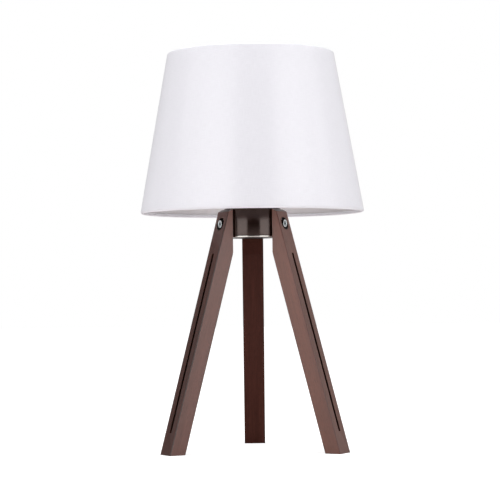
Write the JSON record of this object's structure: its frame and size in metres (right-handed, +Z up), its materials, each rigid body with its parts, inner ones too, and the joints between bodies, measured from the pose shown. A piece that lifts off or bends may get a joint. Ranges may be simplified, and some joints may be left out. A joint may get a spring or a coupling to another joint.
{
  "type": "tripod table lamp",
  "caption": "Table lamp on three splayed grooved wooden legs, with a round hub, a screw lampholder and a tapered fabric shade that turns on it.",
  "frame": {"origin": "on the floor, on the lamp's vertical axis", "axes": "+Z up along the lamp's axis, -Y the front, one leg straight back along +Y"},
  "size_m": [0.2809, 0.2808, 0.5],
  "materials": {
    "leg_wood": "stained dark brown, satin lacquer",
    "hub_paint": "satin brown lacquer",
    "bright_rim": "bright nickel plate",
    "black_plate": "black, slightly glossy",
    "zinc": "zinc plated steel",
    "holder_black": "black phenolic moulding",
    "insulating": "cream insulating moulding",
    "contact_brass": "plain brass",
    "white_wire": "white powder coat",
    "shade_liner": "white stiff liner sheet",
    "shade_fabric": "white fine satin weave, laminated",
    "bulb_glass": "frosted glass",
    "bulb_cap": "plain aluminium",
    "bulb_black": "black glass insulator"
  },
  "bodies": {
    "stand": {"leg_front_left": "leg_wood", "leg_front_right": "leg_wood", "leg_back": "leg_wood", "hub": "hub_paint", "hub_rim": "bright_rim", "hub_plate": "black_plate", "cord_gland": "black_plate", "gland_nut": "black_plate", "leg_screws": "zinc", "leg_washers": "zinc", "weld_nuts": "zinc", "threaded_tube": "zinc", "tube_washer": "zinc", "tube_nut": "zinc", "cap_lock_screw": "zinc", "holder_cap": "holder_black", "holder_body": "holder_black", "contact_block": "insulating", "screw_shell": "contact_brass", "centre_contact": "contact_brass", "terminals": "contact_brass", "terminal_screws": "contact_brass"},
    "shade": {"carrier_ring": "white_wire", "carrier_arms": "white_wire", "shade_bottom_wire": "white_wire", "shade_top_wire": "white_wire", "shade_liner": "shade_liner", "shade_fabric": "shade_fabric"},
    "clamp": {"clamp_ring": "holder_black"},
    "bulb": {"bulb_glass": "bulb_glass", "bulb_cap": "bulb_cap", "bulb_insulator": "bulb_black", "bulb_tip": "bulb_cap"}
  },
  "joints": [
    {"name": "shade_turn", "type": "hinge", "parent": "stand", "child": "shade", "pos_m": [0, 0, 0.334], "axis": [0, 0, 1], "continuous": true},
    {"name": "clamp_turn", "type": "hinge", "parent": "stand", "child": "clamp", "pos_m": [0, 0, 0.338], "axis": [0, 0, 1], "range_deg": [0, 90]},
    {"name": "bulb_turn", "type": "hinge", "parent": "stand", "child": "bulb", "pos_m": [0, 0, 0.355], "axis": [0, 0, 1], "range_deg": [0, 360]}
  ]
}
